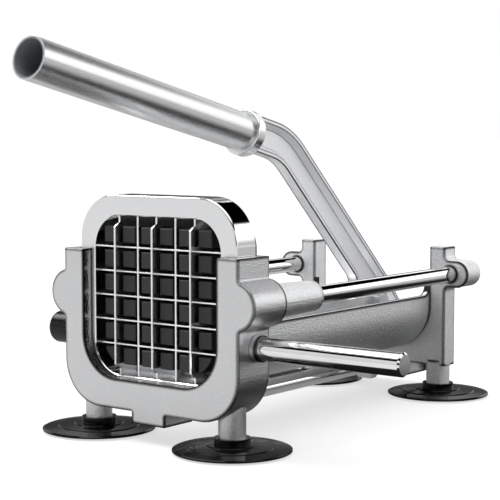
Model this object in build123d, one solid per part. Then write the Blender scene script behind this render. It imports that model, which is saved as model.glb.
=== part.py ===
from build123d import *
import os

# Bench-top french fry cutter, millimetres.
# Drawn with X across, +Y to the rear and +Z up. X = 0 is the middle plane, Y = 0 the front edge
# of the blade grid and Z = 0 its centre. The export moves it so that the origin lies on the
# table, under the middle of the whole object.

os.makedirs("parts", exist_ok=True)

# ---------------------------------------------------------------- driving dimensions
TABLE_Z = -72.95

# blade grid and cassette
PITCH = 12.7
GRID_LINES = (-2, -1, 0, 1, 2)
BLADE_THICKNESS = 1.1
BLADE_DEPTH = 12.0
BLADE_BEVEL = 0.4
BLADE_EDGE = 0.7
BLADE_SEAT = 1.8
LAP_DEPTH = BLADE_DEPTH / 2
LAP_PLAY = 0.06
FORWARD_BLADE_REACH = 3.75
FORWARD_BLADE_HALF = 36.0
CASSETTE_FRONT = -0.6
CASSETTE_REAR = 15.0
CASSETTE_HALF = 52.6
CASSETTE_TOP = 52.4
CASSETTE_BOTTOM = -49.6
CASSETTE_CORNER = 24.0
CASSETTE_EDGE = 1.2
WINDOW_HALF_WIDTH = 42.2
WINDOW_HALF_HEIGHT = 41.6
WINDOW_CORNER = 17.0
WINDOW_CHAMFER = 0.5

# front frame
FRONT_FACE = -7.0
FRONT_REAR = 18.5
FRONT_HALF = 58.3
FRONT_TOP = 23.7
FRONT_BOTTOM = -58.4
FRONT_CORNER = 24.0
CASTING_EDGE = 0.9
LIP_HALF = 44.7
LIP_BOTTOM = -42.7
LIP_CORNER = 22.0
SLOT_PLAY = 0.2
BOSS_RADIUS = 12.2
BOSS_REAR = 19.5
TAB_HALF = 11.0
TAB_BOTTOM = -64.4
TAB_REAR = 15.0
SIDE_AXIS_Y = 8.0
SIDE_AXIS_Z = -21.1

# rear frame
REAR_FACE = 200.2
REAR_BACK = 213.2
POST_OUTER = 52.4
POST_INNER = 42.1
POST_TOP = 16.0
REAR_BOTTOM = -55.5
LUG_X = 60.2
LUG_RADIUS = 7.8
LUG_REAR = 218.0
BLOCK_BOTTOM = -64.0
CHEEK_INNER = 4.6
CHEEK_OUTER = 25.0
CHEEK_RADIUS = 9.0

# rods
ROD_RADIUS = 4.75
ROD_X = 56.0
ROD_Z = 0.3
ROD_FRONT = 15.4
ROD_SPIGOT = 2.8
ROD_SPIGOT_FRONT = 3.0
ROD_REAR = 214.0
TIE_Z = -59.0
TIE_FRONT = -1.0
TIE_REAR = 207.0

# feed tray
TRAY_HALF = 42.5
TRAY_TOP = -13.2
TRAY_BOTTOM = -46.5
TRAY_WALL = 4.0
TRAY_CORNER = 26.5
TRAY_BLEND = 6.0
FOOT_NOTCH = 9.0

# legs and suction cups
FOOT_X = 45.3
FOOT_FRONT_Y = 4.9
FOOT_REAR_Y = 205.9
LEG_RADIUS = 7.0
CUP_RADIUS = 30.1
CUP_COLLAR_RADIUS = 9.2
CUP_HEIGHT = 6.55
CUP_SEAT = 4.4
CUP_WEB_UNDERSIDE = 2.6
CUP_SCREW_RADIUS = 2.5

# steadying bar and clamp knob on the sides of the front frame
SIDE_BOSS_RADIUS = 6.7
SIDE_BOSS_END = 62.0
BAR_RADIUS = 5.75
BAR_END = 143.0
BAR_SPIGOT = 4.0
KNOB_RADIUS = 8.7
KNOB_END = -78.4
KNOB_GAP = 0.4
CLAMP_RADIUS = 3.0

# pusher
PEG = 8.6
PEG_CHAMFER = 0.5
PEG_FACE = 0.2
PEG_ROOT = 16.0
PEG_COLUMNS = (-2.5, -1.5, -0.5, 0.5, 1.5, 2.5)
PLATE_HALF = 37.2
PLATE_CORNER = 16.0
SHIELD_HALF = 41.5
SHIELD_BOTTOM = -11.0
BLOCK_PLATE_REAR = 24.0
CARRIAGE_PLATE_REAR = 31.0
SLEEVE_FRONT = 19.8
SLEEVE_REAR = 58.5
SLEEVE_RADIUS = 9.0
SLEEVE_DRAFT = 1.5
BUSH_RADIUS = 6.3
RUNNING_PLAY = 0.06
STROKE = 66.0

# lever and drive: the fixed pivot, and the pin on the pusher that rides in the slot of the foot;
# the lever turns a right angle, and the pin starts and ends half a stroke before and behind it
PIVOT_Y = 228.0
PIVOT_Z = -55.0
PIN_Y = PIVOT_Y - STROKE / 2
PIN_Z = PIVOT_Z + STROKE / 2
PIVOT_RADIUS = 5.0
HUB_RADIUS = 8.6
HUB_HALF = 4.3
PIN_RADIUS = 4.0
ROLLER_RADIUS = 5.1
SLOT_HALF = 8.1
SLOT_RIM = 3.2
ARM_HALF = 3.5
POCKET_DEPTH = 3.7
FLANGE = 2.3
DRIVE_BAR_THICKNESS = 4.0
DRIVE_BAR_HALF = 7.0
DRIVE_BAR_FRONT = 33.0

# handle
HANDLE_SLOPE = 12.1
HANDLE_MOUTH_Y = -87.1
HANDLE_MOUTH_Z = 118.5
HANDLE_LENGTH = 167.0
TUBE_RADIUS = 10.4
TUBE_WALL = 1.4
SPIGOT_RADIUS = 9.3
COLLAR_RADIUS = 12.7
COLLAR_LENGTH = 6.7
FREE_BORE = 139.0
SPIGOT_GAP = 1.0

SIDES = {"left": -1, "right": 1}


# ---------------------------------------------------------------- drawing helpers
def along_x(profile, left, right):
    """Extrude a sketch drawn as (y, z) from X = left to X = right."""
    plane = Plane(origin=(left, 0, 0), x_dir=(0, 1, 0), z_dir=(1, 0, 0))
    return extrude(plane * profile, amount=right - left, dir=(1, 0, 0))


def along_y(profile, front, rear):
    """Extrude a sketch drawn as (x, z) from Y = front to Y = rear."""
    plane = Plane(origin=(0, front, 0), x_dir=(1, 0, 0), z_dir=(0, -1, 0))
    return extrude(plane * profile, amount=rear - front, dir=(0, 1, 0))


def along_z(profile, bottom, top):
    """Extrude a sketch drawn as (x, y) from Z = bottom to Z = top."""
    return extrude(Pos(0, 0, bottom) * profile, amount=top - bottom, dir=(0, 0, 1))


def disc(u, v, radius):
    return Pos(u, v) * Circle(radius)


def rectangle(u0, u1, v0, v1):
    return Pos((u0 + u1) / 2, (v0 + v1) / 2) * Rectangle(u1 - u0, v1 - v0)


def hexagon(u, v, across_flats):
    return Pos(u, v) * RegularPolygon(across_flats / 2, 6, major_radius=False)


def round_corner(sketch, u, v, radius):
    """Round the corner of a sketch that lies nearest to (u, v)."""
    corner = sketch.vertices().sort_by_distance((u, v, 0))[0]
    return fillet(corner, radius)


def window(half, bottom, top, bottom_radius, top_radius=0):
    """Rectangle about X = 0 with rounded bottom corners and, if asked, rounded top corners."""
    shape = rectangle(-half, half, bottom, top)
    shape = fillet(shape.vertices().filter_by(lambda v: v.Y < (bottom + top) / 2), bottom_radius)
    if top_radius:
        upper = shape.vertices().filter_by(lambda v: v.Y > top - 0.01 and abs(v.X) > half - 0.01)
        shape = fillet(upper, top_radius)
    return shape


def hull(first, second):
    """Outline that wraps two discs given as (u, v, radius)."""
    return make_hull(disc(*first).edges() + disc(*second).edges())


def round_ends(prism, radius):
    """Round the outlines of the front and rear faces of a prism that lies along Y."""
    for index in (0, -1):
        face = prism.faces().sort_by(Axis.Y)[index]
        prism = fillet(face.outer_wire().edges(), radius)
    return prism


def solid(shape):
    """The shape as clean, single-level geometry."""
    return shape.clean()


# ---------------------------------------------------------------- castings
def front_frame():
    body = window(FRONT_HALF, FRONT_BOTTOM, FRONT_TOP, FRONT_CORNER)
    for side in SIDES.values():
        body = body + disc(side * ROD_X, ROD_Z, BOSS_RADIUS)
    notch_corners = body.vertices().filter_by(
        lambda v: abs(abs(v.X) - FRONT_HALF) < 0.01 and abs(v.Y) < BOSS_RADIUS + 1)
    body = fillet(notch_corners, 1.6)
    frame = along_y(body, FRONT_FACE, FRONT_REAR)
    frame = round_ends(frame, CASTING_EDGE)
    for side in SIDES.values():
        frame += along_y(disc(side * ROD_X, ROD_Z, BOSS_RADIUS), FRONT_REAR - 1, BOSS_REAR)
    frame += along_y(rectangle(-TAB_HALF, TAB_HALF, TAB_BOTTOM, FRONT_BOTTOM + 1), FRONT_FACE, TAB_REAR)

    open_top = FRONT_TOP + 10
    frame -= along_y(window(LIP_HALF, LIP_BOTTOM, open_top, LIP_CORNER), FRONT_FACE - 1, CASSETTE_FRONT)
    slot = window(CASSETTE_HALF + SLOT_PLAY, CASSETTE_BOTTOM, open_top, CASSETTE_CORNER + SLOT_PLAY)
    frame -= along_y(slot, CASSETTE_FRONT, CASSETTE_REAR)
    back_window = window(TRAY_HALF, TRAY_BOTTOM + TRAY_WALL, open_top, TRAY_CORNER - TRAY_WALL)
    frame -= along_y(back_window, CASSETTE_REAR, FRONT_REAR + 1)

    leg_top = CASSETTE_BOTTOM + 0.4
    for side in SIDES.values():
        frame += along_z(disc(side * FOOT_X, FOOT_FRONT_Y, LEG_RADIUS), TABLE_Z + CUP_SEAT, leg_top)
        frame -= leg_hole(side, FOOT_FRONT_Y)
        frame -= guide_rod(side)
        frame += side_boss(side)
    frame -= along_x(disc(SIDE_AXIS_Y, SIDE_AXIS_Z, BAR_SPIGOT), 0, SIDE_BOSS_END + 1)
    clamp_hole = disc(SIDE_AXIS_Y, SIDE_AXIS_Z, CLAMP_RADIUS + RUNNING_PLAY)
    frame -= along_x(clamp_hole, -SIDE_BOSS_END - 1, 0)
    frame -= along_y(disc(0, TIE_Z, ROD_RADIUS), TIE_FRONT, FRONT_REAR + 1)
    return solid(frame)


def side_boss(side):
    ends = sorted((side * (CASSETTE_HALF + 1), side * SIDE_BOSS_END))
    return along_x(disc(SIDE_AXIS_Y, SIDE_AXIS_Z, SIDE_BOSS_RADIUS), *ends)


def leg_hole(side, foot_y):
    top = TABLE_Z + CUP_SEAT + 12
    return along_z(disc(side * FOOT_X, foot_y, CUP_SCREW_RADIUS), TABLE_Z, top)


def rear_frame():
    body = rectangle(-POST_OUTER, POST_OUTER, REAR_BOTTOM, POST_TOP)
    body -= window(POST_INNER, TRAY_BOTTOM + TRAY_WALL, POST_TOP + 1, TRAY_CORNER - TRAY_WALL)
    for side in SIDES.values():
        inner, outer = sorted((side * (POST_INNER + 3), side * LUG_X))
        body += rectangle(inner, outer, ROD_Z - LUG_RADIUS, ROD_Z + LUG_RADIUS)
        body += disc(side * LUG_X, ROD_Z, LUG_RADIUS)
    root_corners = body.vertices().filter_by(
        lambda v: abs(abs(v.X) - POST_OUTER) < 0.01 and abs(abs(v.Y - ROD_Z) - LUG_RADIUS) < 0.01)
    body = fillet(root_corners, 3)
    frame = round_ends(along_y(body, REAR_FACE, REAR_BACK), CASTING_EDGE)
    for side in SIDES.values():
        frame += rear_lug(side)
        leg = disc(side * FOOT_X, FOOT_REAR_Y, LEG_RADIUS)
        frame += along_z(leg, TABLE_Z + CUP_SEAT, REAR_BOTTOM + 3)
        frame -= leg_hole(side, FOOT_REAR_Y)
    cheek = rectangle(REAR_FACE, PIVOT_Y, BLOCK_BOTTOM, BLOCK_BOTTOM + 2 * CHEEK_RADIUS)
    cheek += disc(PIVOT_Y, PIVOT_Z, CHEEK_RADIUS)
    frame += along_x(cheek, -CHEEK_OUTER, CHEEK_OUTER)
    frame -= along_x(clevis_gap(), -CHEEK_INNER, CHEEK_INNER)
    frame -= along_x(disc(PIVOT_Y, PIVOT_Z, PIVOT_RADIUS), -CHEEK_OUTER - 1, CHEEK_OUTER + 1)
    frame -= along_y(disc(0, TIE_Z, ROD_RADIUS), REAR_FACE - 1, TIE_REAR)
    for side in SIDES.values():
        frame -= guide_rod(side)
        frame -= lock_screw(side)
    return solid(frame)


def rear_lug(side):
    """Rounded end that closes over a guide rod and stands out behind the post."""
    inner, outer = sorted((side * (POST_OUTER - 1), side * LUG_X))
    outline = rectangle(inner, outer, ROD_Z - LUG_RADIUS, ROD_Z + LUG_RADIUS)
    outline += disc(side * LUG_X, ROD_Z, LUG_RADIUS)
    lug = along_y(outline, REAR_FACE, LUG_REAR)
    back = lug.faces().sort_by(Axis.Y)[-1]
    return fillet(back.outer_wire().edges(), 2.8)


def clevis_gap():
    """Side view of the gap for the lever foot, with a sloping floor above the tie rod."""
    front = REAR_FACE - 1
    floor_front = -43.6
    floor_rear = -56.5
    return Polygon((front, floor_front), (REAR_BACK, floor_rear), (REAR_BACK, BLOCK_BOTTOM - 1),
                   (PIVOT_Y + 12, BLOCK_BOTTOM - 1), (PIVOT_Y + 12, -30), (front, -30), align=None)


def feed_tray():
    profile = window(TRAY_HALF, TRAY_BOTTOM, TRAY_TOP, TRAY_CORNER)
    inner_corner = TRAY_CORNER - TRAY_WALL
    profile -= window(TRAY_HALF - TRAY_WALL, TRAY_BOTTOM + TRAY_WALL, TRAY_TOP + 5, inner_corner)
    tray = along_y(profile, FRONT_REAR, REAR_FACE)
    blend = rectangle(REAR_FACE - TRAY_BLEND, REAR_FACE, TRAY_TOP - 1, TRAY_TOP + TRAY_BLEND)
    blend -= disc(REAR_FACE - TRAY_BLEND, TRAY_TOP + TRAY_BLEND, TRAY_BLEND)
    for side in SIDES.values():
        ends = sorted((side * (TRAY_HALF - TRAY_WALL), side * TRAY_HALF))
        tray += along_x(blend, *ends)
    foot_notch = rectangle(-CHEEK_INNER, CHEEK_INNER, TRAY_BOTTOM - 1, TRAY_BOTTOM + TRAY_WALL + 1)
    return solid(tray - along_y(foot_notch, REAR_FACE - FOOT_NOTCH, REAR_FACE + 1))


# ---------------------------------------------------------------- rods, feet and hardware
def guide_rod(side):
    """Rod with a thinner front end, which passes beside the blade cassette."""
    rod = along_y(disc(side * ROD_X, ROD_Z, ROD_RADIUS), ROD_FRONT, ROD_REAR)
    return rod + along_y(disc(side * ROD_X, ROD_Z, ROD_SPIGOT), ROD_SPIGOT_FRONT, ROD_FRONT)


def tie_rod():
    return along_y(disc(0, TIE_Z, ROD_RADIUS), TIE_FRONT, TIE_REAR)


def tie_rod_nut():
    nut = hexagon(0, TIE_Z, 16) - disc(0, TIE_Z, ROD_RADIUS)
    return along_y(nut, REAR_FACE - 6, REAR_FACE)


def lock_screw(side):
    """Set screw that comes up into the rear lug and bears on the guide rod."""
    screw = disc(side * ROD_X, LUG_REAR - 9, 2.4)
    return along_z(screw, ROD_Z - LUG_RADIUS - 1, ROD_Z - ROD_RADIUS)


def rod_lock_screw(side):
    socket = hexagon(side * ROD_X, LUG_REAR - 9, 2.4)
    bottom = ROD_Z - LUG_RADIUS - 1
    return lock_screw(side) - along_z(socket, bottom, bottom + 2)


def suction_cup(side, foot_y):
    """Thin stepped dome with a socket for the leg, hollow underneath."""
    rim_width = 2.6
    step = 0.45
    outer = [(CUP_RADIUS, 0), (CUP_RADIUS, 0.7), (CUP_RADIUS - 1.2, 1.1),
             (0.72 * CUP_RADIUS, 1.9), (0.71 * CUP_RADIUS, 1.9 + step),
             (0.44 * CUP_RADIUS, 2.9), (0.43 * CUP_RADIUS, 2.9 + step),
             (CUP_COLLAR_RADIUS, 3.6), (CUP_COLLAR_RADIUS, CUP_HEIGHT)]
    socket = [(LEG_RADIUS, CUP_HEIGHT), (LEG_RADIUS, CUP_SEAT), (CUP_SCREW_RADIUS, CUP_SEAT)]
    under = [(CUP_SCREW_RADIUS, CUP_WEB_UNDERSIDE), (8, CUP_WEB_UNDERSIDE), (CUP_RADIUS - rim_width, 0)]
    section = Polygon(*outer, *socket, *under, align=None)
    cup = revolve(Plane.XZ * section, Axis.Z)
    return Pos(side * FOOT_X, foot_y, TABLE_Z) * cup


def cup_screw(side, foot_y):
    at = disc(side * FOOT_X, foot_y, CUP_SCREW_RADIUS)
    head_bottom = TABLE_Z + 0.8
    head_top = TABLE_Z + CUP_WEB_UNDERSIDE
    screw = along_z(at, head_top - 0.5, TABLE_Z + CUP_SEAT + 11)
    screw += along_z(disc(side * FOOT_X, foot_y, 4.5), head_bottom, head_top)
    socket = hexagon(side * FOOT_X, foot_y, 3)
    return screw - along_z(socket, head_bottom, head_bottom + 1.2)


def cross_bolt(y, z, radius, head_at, tail_at, across_flats, head_height):
    """Bolt along X with a hexagon head outside X = head_at and its tail at X = tail_at."""
    bolt = along_x(disc(y, z, radius), tail_at, head_at + 1)
    return bolt + along_x(hexagon(y, z, across_flats), head_at, head_at + head_height)


def cross_nut(y, z, radius, seat, across_flats, height):
    """Nut along X that seats at X = -seat."""
    nut = hexagon(y, z, across_flats) - disc(y, z, radius)
    return along_x(nut, -seat - height, -seat)


# ---------------------------------------------------------------- blade cassette
def cassette_frame():
    outline = window(CASSETTE_HALF, CASSETTE_BOTTOM, CASSETTE_TOP, CASSETTE_CORNER, CASSETTE_CORNER)
    frame = along_y(outline, CASSETTE_FRONT, CASSETTE_REAR)
    frame = round_ends(frame, CASSETTE_EDGE)
    inner = window(WINDOW_HALF_WIDTH, -WINDOW_HALF_HEIGHT, WINDOW_HALF_HEIGHT, WINDOW_CORNER, WINDOW_CORNER)
    frame -= along_y(inner, CASSETTE_FRONT - 1, CASSETTE_REAR + 1)
    front_face = frame.faces().sort_by(Axis.Y)[0]
    frame = chamfer(front_face.inner_wires()[0].edges(), WINDOW_CHAMFER)
    half_slot = BLADE_THICKNESS / 2
    for line in GRID_LINES:
        at = line * PITCH
        high = WINDOW_HALF_HEIGHT + BLADE_SEAT
        wide = WINDOW_HALF_WIDTH + BLADE_SEAT
        upright = rectangle(at - half_slot, at + half_slot, -high, high)
        level = rectangle(-wide, wide, at - half_slot, at + half_slot)
        frame -= along_y(upright, 0, BLADE_DEPTH)
        frame -= along_y(level, 0, BLADE_DEPTH)
    return solid(frame)


def blade_section(front):
    """Section across a blade as (offset, y), bevelled to a narrow edge at the front."""
    half, edge = BLADE_THICKNESS / 2, BLADE_EDGE / 2
    shoulder = front + BLADE_BEVEL
    return Polygon((-edge, front), (edge, front), (half, shoulder), (half, BLADE_DEPTH),
                   (-half, BLADE_DEPTH), (-half, shoulder), align=None)


def vertical_blade(line):
    half = WINDOW_HALF_HEIGHT + BLADE_SEAT
    blade = along_z(blade_section(0), -half, half)
    if line % 2 == 0:
        forward = along_z(blade_section(-FORWARD_BLADE_REACH), -half, half)
        shape = Polygon((1, -FORWARD_BLADE_HALF - 3), (-FORWARD_BLADE_REACH - 1, -FORWARD_BLADE_HALF + 1),
                        (-FORWARD_BLADE_REACH - 1, FORWARD_BLADE_HALF - 1), (1, FORWARD_BLADE_HALF + 3),
                        (BLADE_DEPTH, FORWARD_BLADE_HALF + 3), (BLADE_DEPTH, -FORWARD_BLADE_HALF - 3),
                        align=None)
        blade += forward & along_x(shape, -1, 1)
    half_lap = BLADE_THICKNESS / 2 + LAP_PLAY
    for other in GRID_LINES:
        at = other * PITCH
        lap = rectangle(LAP_DEPTH - LAP_PLAY, BLADE_DEPTH + 1, at - half_lap, at + half_lap)
        blade -= along_x(lap, -1, 1)
    return Pos(line * PITCH, 0, 0) * solid(blade)


def horizontal_blade(line):
    half = WINDOW_HALF_WIDTH + BLADE_SEAT
    plane = Plane(origin=(-half, 0, 0), x_dir=(0, 0, 1), z_dir=(-1, 0, 0))
    blade = extrude(plane * blade_section(0), amount=-2 * half)
    half_lap = BLADE_THICKNESS / 2 + LAP_PLAY
    for other in GRID_LINES:
        at = other * PITCH
        lap = rectangle(at - half_lap, at + half_lap, -1, 1)
        blade -= along_y(lap, -1, LAP_DEPTH + LAP_PLAY)
    return Pos(0, 0, line * PITCH) * solid(blade)


# ---------------------------------------------------------------- side bar and clamp knob
def side_bar():
    bar = along_x(disc(SIDE_AXIS_Y, SIDE_AXIS_Z, BAR_RADIUS), SIDE_BOSS_END, BAR_END)
    bar = chamfer(bar.edges().sort_by(Axis.X)[-1], 0.9)
    spigot = along_x(disc(SIDE_AXIS_Y, SIDE_AXIS_Z, BAR_SPIGOT), CASSETTE_HALF + 1, SIDE_BOSS_END)
    return solid(bar + spigot)


def clamp_knob():
    knob_start = -SIDE_BOSS_END - KNOB_GAP
    knob = along_x(disc(SIDE_AXIS_Y, SIDE_AXIS_Z, KNOB_RADIUS), KNOB_END, knob_start)
    knob = fillet(knob.edges().sort_by(Axis.X)[0], 3)
    return knob - along_x(disc(SIDE_AXIS_Y, SIDE_AXIS_Z, CLAMP_RADIUS), KNOB_END + 6, knob_start + 1)


def clamp_screw():
    screw = disc(SIDE_AXIS_Y, SIDE_AXIS_Z, CLAMP_RADIUS)
    return along_x(screw, KNOB_END + 6, -CASSETTE_HALF - 0.5)


# ---------------------------------------------------------------- pusher
def pusher_outline(inset=0.0):
    """Plate outline: narrow where it runs inside the feed tray and wider above the tray."""
    half, shield = PLATE_HALF - inset, SHIELD_HALF - inset
    inside_tray = window(half, -half, 0, PLATE_CORNER - inset)
    return inside_tray + window(shield, SHIELD_BOTTOM + inset, shield, 3, PLATE_CORNER - inset)


def peg():
    """Square peg with a chamfered front, drawn about X = Z = 0."""
    half = PEG / 2
    shape = along_y(rectangle(-half, half, -half, half), PEG_FACE, PEG_ROOT + 1)
    front_face = shape.faces().sort_by(Axis.Y)[0]
    return chamfer(front_face.edges(), PEG_CHAMFER)


def pusher_block():
    """Plate with a grid of square pegs that pass between the blades."""
    block = along_y(pusher_outline(), PEG_ROOT, BLOCK_PLATE_REAR)
    block += [Pos(column * PITCH, 0, row * PITCH) * peg() for column in PEG_COLUMNS for row in PEG_COLUMNS]
    block &= along_y(pusher_outline(), PEG_FACE, BLOCK_PLATE_REAR)
    for x, z in block_screw_places():
        block -= along_y(disc(x, z, 2), BLOCK_PLATE_REAR - 6, BLOCK_PLATE_REAR + 1)
    return solid(block)


def block_screw_places():
    spread = 2 * PITCH
    return [(x, z) for z in (spread, -spread) for x in (-spread, spread)]


def block_screw(place):
    x, z = place
    screw = along_y(disc(x, z, 2), BLOCK_PLATE_REAR - 6, CARRIAGE_PLATE_REAR + 1)
    head = along_y(disc(x, z, 3.8), CARRIAGE_PLATE_REAR, CARRIAGE_PLATE_REAR + 2.4)
    socket = along_y(hexagon(x, z, 2.5), CARRIAGE_PLATE_REAR + 1.2, CARRIAGE_PLATE_REAR + 3)
    return screw + head - socket


def pusher_carriage():
    """Crosshead: back plate, two arms, two guide sleeves and two lugs for the drive bars."""
    carriage = along_y(pusher_outline(0.8), BLOCK_PLATE_REAR, CARRIAGE_PLATE_REAR)
    for side in SIDES.values():
        inner, outer = sorted((side * 30, side * 51))
        carriage += along_y(rectangle(inner, outer, ROD_Z - 7.5, ROD_Z + 7.5), BLOCK_PLATE_REAR, 40)
        carriage += sleeve(side)
        inner, outer = sorted((side * drive_bar_outer(), side * (drive_bar_outer() + 6)))
        lug = rectangle(inner, outer, PIN_Z - 8, PIN_Z + 8)
        carriage += along_y(lug, BLOCK_PLATE_REAR + 1, 57)
        rib = Polygon((CARRIAGE_PLATE_REAR - 1, 34), (CARRIAGE_PLATE_REAR - 1, PIN_Z),
                      (48, PIN_Z), (CARRIAGE_PLATE_REAR + 4, 34), align=None)
        carriage += along_x(rib, inner + 1, outer - 1)
    for side in SIDES.values():
        carriage -= along_y(disc(side * ROD_X, ROD_Z, BUSH_RADIUS), SLEEVE_FRONT - 1, SLEEVE_REAR + 1)
    for x, z in block_screw_places():
        carriage -= along_y(disc(x, z, 2), BLOCK_PLATE_REAR - 1, CARRIAGE_PLATE_REAR + 1)
    for y in bar_bolt_places():
        carriage -= along_x(disc(y, PIN_Z, 2.5), -20, 20)
    return solid(carriage)


def sleeve(side):
    circle = Plane(origin=(0, SLEEVE_FRONT, 0), x_dir=(1, 0, 0), z_dir=(0, -1, 0))
    tube = extrude(circle * disc(side * ROD_X, ROD_Z, SLEEVE_RADIUS),
                   amount=SLEEVE_FRONT - SLEEVE_REAR, taper=SLEEVE_DRAFT)
    rear = tube.edges().filter_by(GeomType.CIRCLE).sort_by(Axis.Y)[-1]
    return fillet(rear, 1.6)


def guide_bush(side):
    ring = disc(side * ROD_X, ROD_Z, BUSH_RADIUS) - disc(side * ROD_X, ROD_Z, ROD_RADIUS + RUNNING_PLAY)
    return along_y(ring, SLEEVE_FRONT, SLEEVE_REAR)


def drive_bar_outer():
    return CHEEK_INNER + DRIVE_BAR_THICKNESS


def bar_bolt_places():
    return 41.0, 51.0


def drive_bar(side):
    bar = rectangle(DRIVE_BAR_FRONT, PIN_Y, PIN_Z - DRIVE_BAR_HALF, PIN_Z + DRIVE_BAR_HALF)
    bar += disc(PIN_Y, PIN_Z, DRIVE_BAR_HALF)
    bar -= disc(PIN_Y, PIN_Z, PIN_RADIUS)
    for y in bar_bolt_places():
        bar -= disc(y, PIN_Z, 2.5)
    return along_x(bar, *sorted((side * CHEEK_INNER, side * drive_bar_outer())))


def drive_roller():
    ring = disc(PIN_Y, PIN_Z, ROLLER_RADIUS) - disc(PIN_Y, PIN_Z, PIN_RADIUS + RUNNING_PLAY)
    return along_x(ring, -CHEEK_INNER + 0.3, CHEEK_INNER - 0.3)


# ---------------------------------------------------------------- lever and handle
def handle_plane(distance):
    """Plane across the handle axis, this far behind the open end of the tube."""
    tilt = Plane(origin=(0, HANDLE_MOUTH_Y, HANDLE_MOUTH_Z), x_dir=(1, 0, 0), z_dir=(0, 1, 0))
    return tilt.rotated((-HANDLE_SLOPE, 0, 0)).offset(distance)


def ring_on_handle(outer, inner, start, end):
    ring = Circle(outer) - Circle(inner) if inner else Circle(outer)
    return extrude(handle_plane(start) * ring, amount=end - start)


def slot_centres():
    """Ends of the foot slot, on the line from the pivot through the pin."""
    reach_long, reach_short = 44.1, 35.6
    diagonal = 0.5 ** 0.5
    return [(PIVOT_Y - reach * diagonal, PIVOT_Z + reach * diagonal) for reach in (reach_short, reach_long)]


def arm_blank(inset=0.0):
    """Side view of the lever arm as (y, z), drawn smaller all round by the inset."""
    top_root, top_bend = (78.5, 94.4), (113.4, 86.9)
    rear_knee, rear_foot = (216.0, -6.6), (231.0, -24.0)
    toe_low, toe = (197.0, -40.0), (173.5, -27.0)
    ankle, under_bend, under_root = (182.6, -5.5), (103.1, 68.4), (74.4, 75.2)
    arm = Polygon(top_root, top_bend, rear_knee, rear_foot, (PIVOT_Y + HUB_RADIUS, PIVOT_Z),
                  (PIVOT_Y, PIVOT_Z), toe_low, toe, ankle, under_bend, under_root, align=None)
    if inset:
        arm = offset(arm, -inset, kind=Kind.INTERSECTION)
    for corner, radius in ((top_bend, 55), (rear_knee, 40), (rear_foot, 18), (toe, 8)):
        arm = round_corner(arm, *corner, max(radius - inset, 1))
    for corner, radius in ((under_bend, 30), (ankle, 9)):
        arm = round_corner(arm, *corner, radius + inset)
    return arm


def foot_rim():
    """The wall round the foot slot and the web from there to the pivot hub."""
    near, far = slot_centres()
    rim = SLOT_HALF + SLOT_RIM
    return hull((*near, rim), (*far, rim)) + hull((PIVOT_Y, PIVOT_Z, HUB_RADIUS), (*near, rim))


def arm_pocket():
    """Recess in the right face of the arm, with walls that slope in to its floor."""
    at_face = Plane(origin=(ARM_HALF, 0, 0), x_dir=(0, 1, 0), z_dir=(1, 0, 0))
    at_floor = at_face.offset(-POCKET_DEPTH)
    slope_width = 2.8
    return loft([at_face * arm_blank(FLANGE), at_floor * arm_blank(FLANGE + slope_width)], ruled=True)


def lever_arm():
    arm = along_x(arm_blank(), -ARM_HALF, ARM_HALF) - arm_pocket()
    arm += along_x(foot_rim(), -ARM_HALF, ARM_HALF)
    arm += along_x(disc(PIVOT_Y, PIVOT_Z, HUB_RADIUS), -HUB_HALF, HUB_HALF)
    near, far = slot_centres()
    arm -= along_x(hull((*near, SLOT_HALF), (*far, SLOT_HALF)), -HUB_HALF, HUB_HALF)
    arm -= along_x(disc(PIVOT_Y, PIVOT_Z, PIVOT_RADIUS + 1.5), -10, 10)
    arm += ring_on_handle(SPIGOT_RADIUS, 0, FREE_BORE + SPIGOT_GAP, HANDLE_LENGTH + 2)
    return solid(arm)


def fulcrum_bush():
    outer = disc(PIVOT_Y, PIVOT_Z, PIVOT_RADIUS + 1.5)
    return along_x(outer - disc(PIVOT_Y, PIVOT_Z, PIVOT_RADIUS + RUNNING_PLAY), -HUB_HALF, HUB_HALF)


def handle_collar():
    collar = ring_on_handle(COLLAR_RADIUS, TUBE_RADIUS, HANDLE_LENGTH - COLLAR_LENGTH, HANDLE_LENGTH)
    outer_edges = collar.edges().filter_by(GeomType.CIRCLE).sort_by(SortBy.RADIUS)[-2:]
    return fillet(outer_edges, 1.0)


def handle_tube():
    """Thin tube, bored out a little at its rear end to take the spigot of the lever arm."""
    tube = ring_on_handle(TUBE_RADIUS, TUBE_RADIUS - TUBE_WALL, 0, FREE_BORE)
    return solid(tube + ring_on_handle(TUBE_RADIUS, SPIGOT_RADIUS, FREE_BORE, HANDLE_LENGTH))


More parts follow.
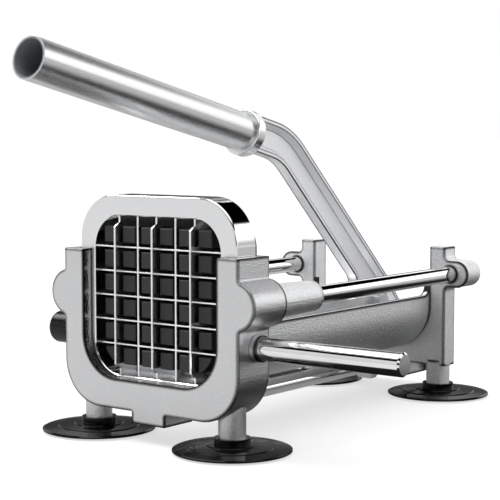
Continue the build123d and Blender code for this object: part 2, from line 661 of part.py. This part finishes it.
# ---------------------------------------------------------------- assembly and export
def all_pieces():
    pieces = {"front_frame": front_frame(), "rear_frame": rear_frame(), "feed_tray": feed_tray(),
              "tie_rod": tie_rod(), "tie_rod_nut": tie_rod_nut(), "side_bar": side_bar(),
              "cassette_frame": cassette_frame(), "clamp_knob": clamp_knob(),
              "clamp_screw": clamp_screw(), "pusher_block": pusher_block(),
              "pusher_carriage": pusher_carriage(), "drive_roller": drive_roller(),
              "lever_arm": lever_arm(), "fulcrum_bush": fulcrum_bush(),
              "handle_collar": handle_collar(), "handle_tube": handle_tube()}
    for number, line in enumerate(GRID_LINES, start=1):
        pieces[f"vertical_blade_{number}"] = vertical_blade(line)
        pieces[f"horizontal_blade_{number}"] = horizontal_blade(line)
    for number, place in enumerate(block_screw_places(), start=1):
        pieces[f"block_screw_{number}"] = block_screw(place)
    for name, side in SIDES.items():
        pieces[f"guide_rod_{name}"] = guide_rod(side)
        pieces[f"rod_lock_screw_{name}"] = rod_lock_screw(side)
        pieces[f"guide_bush_{name}"] = guide_bush(side)
        pieces[f"drive_bar_{name}"] = drive_bar(side)
        for row, foot_y in (("front", FOOT_FRONT_Y), ("rear", FOOT_REAR_Y)):
            pieces[f"suction_cup_{row}_{name}"] = suction_cup(side, foot_y)
            pieces[f"cup_screw_{row}_{name}"] = cup_screw(side, foot_y)

    lug_face = drive_bar_outer() + 6
    for row, y in zip(("front", "rear"), bar_bolt_places()):
        pieces[f"bar_bolt_{row}"] = cross_bolt(y, PIN_Z, 2.5, lug_face, -lug_face - 5, 8, 3.5)
        pieces[f"bar_nut_{row}"] = cross_nut(y, PIN_Z, 2.5, lug_face, 8, 4)
    bar_face = drive_bar_outer()
    pieces["drive_pin"] = cross_bolt(PIN_Y, PIN_Z, PIN_RADIUS, bar_face, -bar_face - 7.5, 13, 5)
    pieces["drive_pin_nut"] = cross_nut(PIN_Y, PIN_Z, PIN_RADIUS, bar_face, 13, 6.5)
    pieces["fulcrum_bolt"] = cross_bolt(PIVOT_Y, PIVOT_Z, PIVOT_RADIUS, CHEEK_OUTER, -CHEEK_OUTER - 7, 16, 5)
    pieces["fulcrum_nut"] = cross_nut(PIVOT_Y, PIVOT_Z, PIVOT_RADIUS, CHEEK_OUTER, 16, 6)
    return pieces


def main():
    pieces = all_pieces()
    boxes = [piece.bounding_box() for piece in pieces.values()]
    middle_x = (min(box.min.X for box in boxes) + max(box.max.X for box in boxes)) / 2
    middle_y = (min(box.min.Y for box in boxes) + max(box.max.Y for box in boxes)) / 2
    to_origin = Pos(-middle_x, -middle_y, -TABLE_Z)
    for name, piece in pieces.items():
        export_step(to_origin * piece, f"parts/{name}.step")


main()
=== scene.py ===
import math

import bpy
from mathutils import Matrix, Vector

# Looks of the french fry cutter: materials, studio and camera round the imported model.
# Metres, Z up, +Y to the rear, the blade grid faces -Y.

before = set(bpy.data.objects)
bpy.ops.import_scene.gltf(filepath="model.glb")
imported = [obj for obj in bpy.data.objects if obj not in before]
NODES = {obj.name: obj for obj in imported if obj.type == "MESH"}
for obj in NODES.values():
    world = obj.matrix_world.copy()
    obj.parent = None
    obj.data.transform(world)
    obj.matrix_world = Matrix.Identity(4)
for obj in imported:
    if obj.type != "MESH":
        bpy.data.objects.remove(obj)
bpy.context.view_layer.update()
MM = 0.001


# ---------------------------------------------------------------- node helpers
# Openness inside the metal at which a painted shade line along an edge is full and gone.
EDGE_OPENNESS = (0.8, 0.91)
# Cosine between the true and the rounded normal at which a painted shade line along an edge or
# crease is full and gone.
CREASE_COSINES = (0.96, 0.995)
EDGE_SAMPLES = 6
BEVEL_SAMPLES = 4
# Scale of a pattern along its lines, which draws its blobs out into lines.
STREAK_STRETCH = 0.01


def grey(value):
    """A neutral colour."""
    return (value, value, value)


def shade(colour, factor):
    """The colour made lighter or darker, with alpha."""
    return (*[c * factor for c in colour], 1)


class Graph:
    """A node tree, with short calls to add nodes and join them."""

    def __init__(self, tree):
        self.tree = tree

    def add(self, kind, settings=None, **inputs):
        """Add a node; inputs are values or other nodes' outputs, named with _ for a space."""
        node = self.tree.nodes.new(kind)
        for key, value in (settings or {}).items():
            setattr(node, key, value)
        for key, value in inputs.items():
            self.feed(node.inputs[key.replace("_", " ")], value)
        return node

    def feed(self, socket, value):
        """Link an output to the socket, or set a plain value on it."""
        if isinstance(value, bpy.types.NodeSocket):
            self.tree.links.new(value, socket)
        else:
            socket.default_value = value

    def object_place(self):
        """Where the surface is in the piece's own coordinates."""
        return self.add("ShaderNodeTexCoord").outputs["Object"]

    def position(self, stretch=(1, 1, 1), turn=(0, 0, 0)):
        """The piece's own coordinates, stretched and turned."""
        moved = self.add("ShaderNodeMapping", Vector=self.object_place(), Scale=stretch,
                         Rotation=turn)
        return moved.outputs["Vector"]

    def noise(self, size, detail, vector=None):
        """Noise whose blobs are about this many metres wide."""
        node = self.add("ShaderNodeTexNoise", Vector=vector or self.position(),
                        Scale=1 / size, Detail=detail)
        return node.outputs["Fac"]

    def streaks(self, size, along, tilt=0.0):
        """Noise drawn out into fine lines along one axis, tilted about X."""
        stretch = [1.0, 1.0, 1.0]
        stretch["XYZ".index(along)] = STREAK_STRETCH
        return self.noise(size, 2, self.position(stretch, (tilt, 0, 0)))

    def spread(self, value, low, high, start=0.3, end=0.7, curve="LINEAR"):
        """Map the part of a pattern between start and end onto the range low to high."""
        node = self.add("ShaderNodeMapRange", {"interpolation_type": curve})
        names = ("Value", "From Min", "From Max", "To Min", "To Max")
        for key, number in zip(names, (value, start, end, low, high)):
            self.feed(node.inputs[key], number)
        return node.outputs["Result"]

    def mix(self, share, first, second, kind="RGBA"):
        """Blend two colours, or two numbers with kind FLOAT."""
        node = self.add("ShaderNodeMix", {"data_type": kind}, Factor=share, A=first, B=second)
        return node.outputs["Result"]

    def tinted(self, pattern, colour, tones):
        """The colour, varied by a pattern between a darker and a lighter factor."""
        return self.mix(self.spread(pattern, 0, 1), *[shade(colour, tone) for tone in tones])

    def varied(self, pattern, number, factors):
        """The number, varied by a pattern between two factors."""
        return self.spread(pattern, *[number * factor for factor in factors])

    def math(self, operation, first, second=0.0):
        """Combine two numbers."""
        node = self.add("ShaderNodeMath", {"operation": operation})
        self.feed(node.inputs[0], first)
        self.feed(node.inputs[1], second)
        return node.outputs["Value"]

    def vectors(self, operation, first, second=None):
        """Combine two vectors, into a number for LENGTH and DOT_PRODUCT."""
        node = self.add("ShaderNodeVectorMath", {"operation": operation})
        self.feed(node.inputs[0], first)
        if second is not None:
            self.feed(node.inputs[1], second)
        return node.outputs["Value" if operation in ("LENGTH", "DOT_PRODUCT") else "Vector"]

    def axes(self, vector):
        """The three numbers of a vector, by axis name."""
        return self.add("ShaderNodeSeparateXYZ", Vector=vector).outputs

    def geometry(self, name):
        """Where the surface is, or which way it faces, in world coordinates."""
        return self.add("ShaderNodeNewGeometry").outputs[name]

    def bump(self, height, depth, normal=None):
        """Relief whose full height is this many metres."""
        node = self.add("ShaderNodeBump", Height=height, Distance=depth, Strength=1.0)
        if normal is not None:
            self.feed(node.inputs["Normal"], normal)
        return node.outputs["Normal"]

    def soft_edges(self, radius):
        """Normal that is rounded off at the piece's sharp edges."""
        node = self.add("ShaderNodeBevel", {"samples": BEVEL_SAMPLES}, Radius=radius)
        return node.outputs["Normal"]

    def edge_mask(self, reach):
        """1 along outer edges, where the metal within reach is thin, and 0 on flats."""
        settings = {"inside": True, "only_local": True, "samples": EDGE_SAMPLES}
        inside = self.add("ShaderNodeAmbientOcclusion", settings, Distance=reach)
        return self.spread(inside.outputs["AO"], 1, 0, *EDGE_OPENNESS)

    def crease_mask(self, rounded):
        """1 along sharp edges and creases, where the rounded normal leaves the true one."""
        cosine = self.vectors("DOT_PRODUCT", self.geometry("Normal"), rounded)
        return self.spread(cosine, 1, 0, *CREASE_COSINES)

    def inside_box(self, low, high):
        """1 where the surface lies inside a box in world coordinates."""
        place = self.axes(self.geometry("Position"))
        share = 1.0
        for axis, bottom, top in zip("XYZ", low, high):
            above = self.math("GREATER_THAN", place[axis], bottom)
            below = self.math("LESS_THAN", place[axis], top)
            share = self.math("MULTIPLY", self.math("MULTIPLY", above, below), share)
        return share

    def toward(self, direction, side, cosines, values):
        """Blend from the first value to the second as the direction nears the given side."""
        nearness = self.vectors("DOT_PRODUCT", direction, side)
        return self.spread(nearness, *values, *cosines, curve="SMOOTHSTEP")

    def seen_directly(self):
        """1 for rays that come straight from the camera or through glass."""
        path = self.add("ShaderNodeLightPath").outputs
        return self.math("MAXIMUM", path["Is Camera Ray"], path["Is Transmission Ray"])


class Surface(Graph):
    """A material: its node tree and its shader."""

    def __init__(self, name, colour, metallic, roughness):
        self.material = bpy.data.materials.new(name)
        self.material.use_nodes = True
        self.material.diffuse_color = (*colour, 1)
        super().__init__(self.material.node_tree)
        self.shader = self.tree.nodes["Principled BSDF"]
        self.set(Base_Color=(*colour, 1), Metallic=metallic, Roughness=roughness)

    def set(self, **inputs):
        """Feed the shader's sockets, named with _ for a space."""
        for key, value in inputs.items():
            self.feed(self.shader.inputs[key.replace("_", " ")], value)


# ---------------------------------------------------------------- materials
# TONES are the darkest and lightest factor on a colour. GLOSS is the least and the
# greatest factor on a roughness.

# Castings: blasted grain, larger dull patches, and painted shade: dark lines along the edges
# and in the creases.
CAST_GRAIN = 0.9 * MM
CAST_PATCHES = 9 * MM
PATCH_SHADE, PATCH_SHARE = 0.9, 0.35
GRAIN_SMOOTHER, GRAIN_ROUGHER = 0.05, 0.07
CAST_EDGE = 0.7 * MM
# Painted shade along the castings' edges: how far it reaches, and the factor on the colour
# there.
EDGE_REACH = 1.8 * MM
LEVER_EDGE_REACH = 1.0 * MM
EDGE_PAINTED_SHADE = 0.02
# The cassette's seat in the front frame is machined smooth, inside this box.
SEAT_BOX = ((-0.0776, -0.0808, 0.0299), (0.0130, -0.0744, 0.0962))
SEAT_ROUGHNESS = 0.12

# Ground and brushed metal: fine lines along one axis.
GROUND_LINES = 0.3 * MM
GROUND_RELIEF = 0.003 * MM
GROUND_TONES, GROUND_GLOSS = (0.95, 1.03), (0.85, 1.2)
GROUND_EDGE = 0.2 * MM

TUBE_COLOUR, TUBE_ROUGHNESS = (0.75, 0.755, 0.76), 0.3
TUBE_TONES, TUBE_GLOSS = (0.96, 1.03), (0.9, 1.1)
TUBE_RELIEF = 0.0015 * MM
TUBE_SLOPE = math.radians(12.1)
TUBE_AXIS = (0, math.cos(TUBE_SLOPE), -math.sin(TUBE_SLOPE))
TUBE_MOUTH = (-0.0323, -0.161079, 0.19145)
# This far from the axis is inside the tube's wall, and what lies nearer is the bore.
BORE_LIMIT = 9.7 * MM
# Painted shade: the bore is a dull dark grey, not metal, for the shade inside the tube.
BORE_PAINTED_SHADE, BORE_ROUGHER = (0.24, 0.26, 0.28, 1), 0.4

CHROME, CHROME_ROUGHNESS = grey(0.86), 0.04
CHROME_TONES = (0.97, 1.02)
SMEARS, SMEAR_ROUGHNESS = 14 * MM, (0.015, 0.05)
SCRATCHES, SCRATCH_ROUGHER = 0.12 * MM, 0.02
SCRATCH_RELIEF = 0.0006 * MM

# The cassette is satin where it faces squarely front or rear, and polished elsewhere.
CASSETTE_COLOUR, CASSETTE_ROUGHNESS = (0.86, 0.865, 0.875), 0.2
CASSETTE_TONES = (0.96, 1.03)
CASSETTE_POLISHED, CASSETTE_SATIN = 0.06, 0.36
SQUARE_COSINES = (0.97, 0.995)
CASSETTE_GRAIN, CASSETTE_RELIEF = 0.3 * MM, 0.006 * MM

MOULD_MARKS = 6 * MM
MOULD_TONES, MOULD_GLOSS = (0.8, 1.25), (0.8, 1.2)
SOFT_EDGE = 0.3 * MM

BLADE_STEEL = (0.95, 0.955, 0.96)


def cast_metal(name, colour, roughness, relief, speckle, reach=EDGE_REACH, seat=None):
    """Cast aluminium with blasted grain, painted shade as dark lines along edges and creases,
    and perhaps a machined seat.
    """
    g = Surface(name, colour, 1.0, roughness)
    grain = g.noise(CAST_GRAIN, 2)
    patches = g.noise(CAST_PATCHES, 3)
    rounded = g.soft_edges(CAST_EDGE)
    tone = g.tinted(grain, colour, (1 - speckle, 1 + speckle / 2))
    tone = g.mix(g.spread(patches, 0, PATCH_SHARE), tone, shade(colour, PATCH_SHADE))
    # Painted shade: dark lines along the edges and in the creases.
    dark = g.math("MAXIMUM", g.crease_mask(rounded), g.edge_mask(reach))
    rough = g.spread(grain, roughness - GRAIN_SMOOTHER, roughness + GRAIN_ROUGHER)
    if seat:
        smoother = g.math("MULTIPLY", g.inside_box(*seat), roughness - SEAT_ROUGHNESS)
        rough = g.math("SUBTRACT", rough, smoother)
    g.set(Base_Color=g.mix(dark, tone, shade(colour, EDGE_PAINTED_SHADE)),
          Roughness=rough,
          Normal=g.bump(grain, relief, rounded))
    return g.material


def ground_metal(name, colour, roughness, along):
    """Bright ground or brushed metal with fine lines along one axis."""
    g = Surface(name, colour, 1.0, roughness)
    lines = g.streaks(GROUND_LINES, along)
    g.set(Base_Color=g.tinted(lines, colour, GROUND_TONES),
          Roughness=g.varied(lines, roughness, GROUND_GLOSS),
          Normal=g.bump(lines, GROUND_RELIEF, g.soft_edges(GROUND_EDGE)))
    return g.material


def tube_metal():
    """Brushed handle tube whose bore is painted shade: a dull, dark grey."""
    g = Surface("handle_steel", TUBE_COLOUR, 1.0, TUBE_ROUGHNESS)
    lines = g.streaks(GROUND_LINES, "Y", TUBE_SLOPE)
    from_mouth = g.vectors("SUBTRACT", g.object_place(), TUBE_MOUTH)
    off_axis = g.vectors("LENGTH", g.vectors("CROSS_PRODUCT", from_mouth, TUBE_AXIS))
    bore = g.math("LESS_THAN", off_axis, BORE_LIMIT)
    rough = g.varied(lines, TUBE_ROUGHNESS, TUBE_GLOSS)
    # The bore's dull dark grey is painted shade.
    g.set(Base_Color=g.mix(bore, g.tinted(lines, TUBE_COLOUR, TUBE_TONES), BORE_PAINTED_SHADE),
          Metallic=g.math("SUBTRACT", 1.0, bore),
          Roughness=g.math("ADD", rough, g.math("MULTIPLY", bore, BORE_ROUGHER)),
          Normal=g.bump(lines, TUBE_RELIEF, g.soft_edges(GROUND_EDGE)))
    return g.material


def chrome(name, along):
    """Mirror chrome with faint smears and hairline scratches along one axis."""
    g = Surface(name, CHROME, 1.0, CHROME_ROUGHNESS)
    scratches = g.streaks(SCRATCHES, along)
    smears = g.noise(SMEARS, 3)
    rough = g.spread(smears, *SMEAR_ROUGHNESS)
    g.set(Base_Color=g.tinted(smears, CHROME, CHROME_TONES),
          Roughness=g.math("ADD", rough, g.spread(scratches, 0, SCRATCH_ROUGHER)),
          Normal=g.bump(scratches, SCRATCH_RELIEF))
    return g.material


def cassette_metal():
    """Aluminium with a satin front and rear face and polished edges and window."""
    g = Surface("polished_aluminium", CASSETTE_COLOUR, 1.0, CASSETTE_ROUGHNESS)
    squarely = g.math("ABSOLUTE", g.axes(g.geometry("Normal"))["Y"])
    flat = g.spread(squarely, 0, 1, *SQUARE_COSINES)
    grain = g.noise(CASSETTE_GRAIN, 2)
    g.set(Base_Color=g.tinted(grain, CASSETTE_COLOUR, CASSETTE_TONES),
          Roughness=g.spread(flat, CASSETTE_POLISHED, CASSETTE_SATIN, 0, 1),
          Normal=g.bump(grain, CASSETTE_RELIEF, g.soft_edges(SOFT_EDGE)))
    return g.material


def moulded(name, colour, roughness, grain_size, relief, gloss):
    """Moulded plastic or rubber with a faint grain and softened edges."""
    g = Surface(name, colour, 0.0, roughness)
    grain = g.noise(grain_size, 3)
    marks = g.noise(MOULD_MARKS, 4)
    g.set(Base_Color=g.tinted(marks, colour, MOULD_TONES),
          Roughness=g.varied(marks, roughness, MOULD_GLOSS),
          Specular_IOR_Level=gloss,
          Normal=g.bump(grain, relief, g.soft_edges(SOFT_EDGE)))
    return g.material


def matches(name, pattern):
    """Whether the name is the pattern, or starts as a pattern that ends in * does."""
    if pattern.endswith("*"):
        return name.startswith(pattern[:-1])
    return name == pattern


def paint(material, *patterns):
    """Give the material to the CAD nodes whose names match a pattern."""
    for node in NODES.values():
        if any(matches(node.name, pattern) for pattern in patterns):
            node.data.materials.clear()
            node.data.materials.append(material)


def dress_castings():
    """Materials of the cast pieces and the cassette."""
    paint(cast_metal("cast_aluminium", (0.88, 0.885, 0.895), roughness=0.6,
                     relief=0.26 * MM, speckle=0.16), "rear_frame")
    paint(cast_metal("cast_front", (0.71, 0.715, 0.725), roughness=0.36,
                     relief=0.24 * MM, speckle=0.12, seat=SEAT_BOX), "front_frame")
    paint(cast_metal("cast_tray", (0.9, 0.905, 0.915), roughness=0.5,
                     relief=0.36 * MM, speckle=0.16), "feed_tray", "pusher_carriage")
    paint(cast_metal("cast_lever", (0.92, 0.925, 0.94), roughness=0.42,
                     relief=0.12 * MM, speckle=0.1, reach=LEVER_EDGE_REACH), "lever_arm")
    paint(cassette_metal(), "cassette_frame")


def dress_metalwork():
    """Materials of the blades, rods, tube, bars and screws."""
    paint(ground_metal("blade_steel", BLADE_STEEL, roughness=0.22, along="X"),
          "horizontal_blade_*")
    paint(ground_metal("blade_steel_upright", BLADE_STEEL, roughness=0.22, along="Z"),
          "vertical_blade_*")
    paint(chrome("chrome_rod", along="Y"), "guide_rod_*", "tie_rod")
    paint(chrome("chrome_bar", along="X"), "side_bar")
    paint(tube_metal(), "handle_tube")
    paint(ground_metal("collar_metal", (0.82, 0.825, 0.83), roughness=0.22, along="Y"),
          "handle_collar")
    paint(ground_metal("bar_steel", (0.66, 0.665, 0.67), roughness=0.3, along="Y"),
          "drive_bar_*")
    paint(ground_metal("zinc_hardware", (0.62, 0.63, 0.64), roughness=0.3, along="X"),
          "drive_pin*", "drive_roller", "fulcrum_bolt", "fulcrum_nut", "tie_rod_nut",
          "bar_bolt_*", "bar_nut_*", "block_screw_*", "rod_lock_screw_*", "cup_screw_*",
          "clamp_screw")
    paint(ground_metal("bush_bronze", (0.55, 0.42, 0.25), roughness=0.4, along="Y"),
          "guide_bush_*", "fulcrum_bush")


def dress_mouldings():
    """Materials of the plastic and rubber pieces."""
    paint(moulded("black_plastic", grey(0.02), roughness=0.42, grain_size=0.2 * MM,
                  relief=0.004 * MM, gloss=0.45), "pusher_block")
    paint(moulded("knob_plastic", grey(0.004), roughness=0.22, grain_size=0.3 * MM,
                  relief=0.002 * MM, gloss=0.25), "clamp_knob")
    paint(moulded("black_rubber", grey(0.003), roughness=0.12, grain_size=0.4 * MM,
                  relief=0.002 * MM, gloss=0.15), "suction_cup_*")


# ---------------------------------------------------------------- studio
# Brightness of the studio by the sine of the height above the horizon: pale walls, a dark
# ceiling band, soft light overhead.
SKY_STOPS = ((0.0, 0.8), (0.455, 0.9), (0.495, 0.0), (0.66, 0.0), (0.84, 1.8), (1.0, 2.4))
# The wall behind the object is brighter on this side, where it dims towards the floor.
BRIGHT_SIDE = (0.61, 0.79, 0.0)
BRIGHT_COSINES, BRIGHT_GAIN = (-0.2, 0.9), (0.88, 1.85)
DIM_COSINES = (0.5, 0.85)
DIM_SINES, DIM_GAIN = (0.0, 0.2), (0.35, 1.0)
# Dark cards: direction, cosines at which a card starts and is full, brightness left there.
DARK_CARDS = (((0.70, -0.714, 0.0), (0.88, 0.95), 0.03),
              ((-0.61, 0.79, 0.0), (0.88, 0.97), 0.12),
              ((0.086, 0.643, 0.761), (0.93, 0.98), 0.25))
UP = (0, 0, 1)
WHITE = (1, 1, 1, 1)

PAPER, PAPER_ROUGHNESS = 0.4, 0.9
FLOOR_SIZE, FLOOR_HEIGHT = 60.0, -1.0 * MM
FLOOR_GLOW, FLOOR_MIRRORED_GLOW = 0.62, 0.3

# The mat is painted shade on the floor, which only reflections show: an oval that thins out in
# front on the left and turns grey far off on the right.
# Pairs are where a change starts and where it is complete.
MAT_CENTRE, MAT_REACH, MAT_HEIGHT = (0.3, 0.842), (1.2, 1.0), -0.5 * MM
MAT_RIM = (0.985, 1.0)
MAT_DARK, MAT_GREY = 0.01, 0.45
MAT_GREY_DISTANCE, MAT_GREY_X = (0.26, 0.5), (-0.05, 0.15)
MAT_THIN = 0.3
MAT_THICK_X, MAT_THICK_Y = (-0.02, 0.04), (0.2, 0.35)

LAMP_PLACE, LAMP_AIM = (-1.04, -0.25, 1.33), (0, 0, 0.08)
LAMP_SIZE, LAMP_POWER = 0.8, 14.0


def sky_by_height(g, direction):
    """Brightness by height above the horizon, from SKY_STOPS."""
    ramp = g.add("ShaderNodeValToRGB", Fac=g.axes(direction)["Z"])
    stops = ramp.color_ramp.elements
    while len(stops) < len(SKY_STOPS):
        stops.new(0.5)
    for stop, (height, value) in zip(stops, SKY_STOPS):
        stop.position = height
        stop.color = (*grey(value), 1)
    return ramp.outputs["Color"]


def sky_gain(g, direction):
    """Factor on the sky by direction: the bright side, dimmed low down, and the dark cards."""
    gain = g.toward(direction, BRIGHT_SIDE, BRIGHT_COSINES, BRIGHT_GAIN)
    for side, cosines, left in DARK_CARDS:
        gain = g.math("MULTIPLY", gain, g.toward(direction, side, cosines, (1.0, left)))
    beside = g.toward(direction, BRIGHT_SIDE, DIM_COSINES, (0.0, 1.0))
    low_down = g.toward(direction, UP, DIM_SINES, DIM_GAIN)
    return g.math("MULTIPLY", gain, g.mix(beside, 1.0, low_down, kind="FLOAT"))


def make_world():
    """White backdrop for the camera, and a plain studio for light and reflections."""
    world = bpy.data.worlds.new("studio")
    bpy.context.scene.world = world
    world.use_nodes = True
    g = Graph(world.node_tree)
    direction = g.add("ShaderNodeTexCoord").outputs["Generated"]
    sky = g.add("ShaderNodeVectorMath", {"operation": "SCALE"},
                Vector=sky_by_height(g, direction), Scale=sky_gain(g, direction))
    shown = g.mix(g.seen_directly(), sky.outputs["Vector"], WHITE)
    g.feed(g.tree.nodes["Background"].inputs["Color"], shown)


def make_plane(name, size, place):
    """Level plane of the stage."""
    bpy.ops.mesh.primitive_plane_add(size=size, location=place)
    plane = bpy.context.object
    plane.name = name
    return plane


def stage_surface(name, value):
    """Dull grey material with no highlight."""
    g = Surface(name, grey(value), 0.0, PAPER_ROUGHNESS)
    g.set(Specular_IOR_Level=0.0)
    return g


def make_floor():
    """Pale floor that keeps a soft shadow and looks white to the camera."""
    floor = make_plane("floor", FLOOR_SIZE, (0, 0, FLOOR_HEIGHT))
    g = stage_surface("floor_paper", PAPER)
    shown = g.math("MULTIPLY", g.seen_directly(), FLOOR_GLOW)
    path = g.add("ShaderNodeLightPath").outputs
    mirrored = g.math("MULTIPLY", path["Is Glossy Ray"], FLOOR_MIRRORED_GLOW)
    glow = g.add("ShaderNodeEmission", Strength=g.math("ADD", shown, mirrored))
    both = g.add("ShaderNodeAddShader")
    g.feed(both.inputs[0], g.shader.outputs["BSDF"])
    g.feed(both.inputs[1], glow.outputs["Emission"])
    g.feed(g.tree.nodes["Material Output"].inputs["Surface"], both.outputs["Shader"])
    floor.data.materials.append(g.material)


def make_mat():
    """Dark oval on the floor, which only reflections show: painted shade on the floor."""
    mat = make_plane("painted_shade_mat", 2, (*MAT_CENTRE, MAT_HEIGHT))
    mat.scale = (*MAT_REACH, 1)
    mat.visible_camera = False
    mat.visible_diffuse = False
    mat.visible_shadow = False
    mat.visible_transmission = False
    # Painted shade on the floor, which only reflections show.
    g = stage_surface("mat_painted_shade", MAT_DARK)
    place = g.geometry("Position")
    distance = g.vectors("LENGTH", place)
    along = g.axes(place)
    greyness = g.math("MULTIPLY", g.spread(distance, 0, 1, *MAT_GREY_DISTANCE),
                      g.spread(along["X"], 0, 1, *MAT_GREY_X))
    thickness = g.math("MAXIMUM", g.spread(along["X"], MAT_THIN, 1, *MAT_THICK_X),
                       g.spread(along["Y"], MAT_THIN, 1, *MAT_THICK_Y))
    rim = g.spread(g.vectors("LENGTH", g.object_place()), 1, 0, *MAT_RIM)
    g.set(Base_Color=g.mix(greyness, (*grey(MAT_DARK), 1), (*grey(MAT_GREY), 1)),
          Alpha=g.math("MULTIPLY", thickness, rim))
    mat.data.materials.append(g.material)


def make_lamp():
    """Soft square lamp high on the left."""
    data = bpy.data.lights.new("key", "AREA")
    data.shape = "RECTANGLE"
    data.size = LAMP_SIZE
    data.size_y = LAMP_SIZE
    data.energy = LAMP_POWER
    lamp = bpy.data.objects.new("key", data)
    lamp.location = LAMP_PLACE
    lamp.rotation_mode = "QUATERNION"
    lamp.rotation_quaternion = (Vector(LAMP_AIM) - Vector(LAMP_PLACE)).to_track_quat("-Z", "Y")
    bpy.context.scene.collection.objects.link(lamp)


# ---------------------------------------------------------------- camera
CAMERA_PLACE = (0.453053, -0.625805, 0.157717)
CAMERA_TURN = (85.333, 0.0, 37.612)
CAMERA_LENS, CAMERA_SENSOR = 104.27, 36.0
CAMERA_NEAR, CAMERA_FAR = 0.01, 100.0


def make_camera():
    """Camera at the photograph's place and angle, for a square frame."""
    data = bpy.data.cameras.new("camera")
    data.lens = CAMERA_LENS
    data.sensor_width = CAMERA_SENSOR
    data.clip_start = CAMERA_NEAR
    data.clip_end = CAMERA_FAR
    camera = bpy.data.objects.new("camera", data)
    camera.location = CAMERA_PLACE
    camera.rotation_euler = [math.radians(angle) for angle in CAMERA_TURN]
    bpy.context.scene.collection.objects.link(camera)
    bpy.context.scene.camera = camera


dress_castings()
dress_metalwork()
dress_mouldings()
make_world()
make_floor()
make_mat()
make_lamp()
make_camera()
bpy.context.scene.view_settings.view_transform = "Standard"
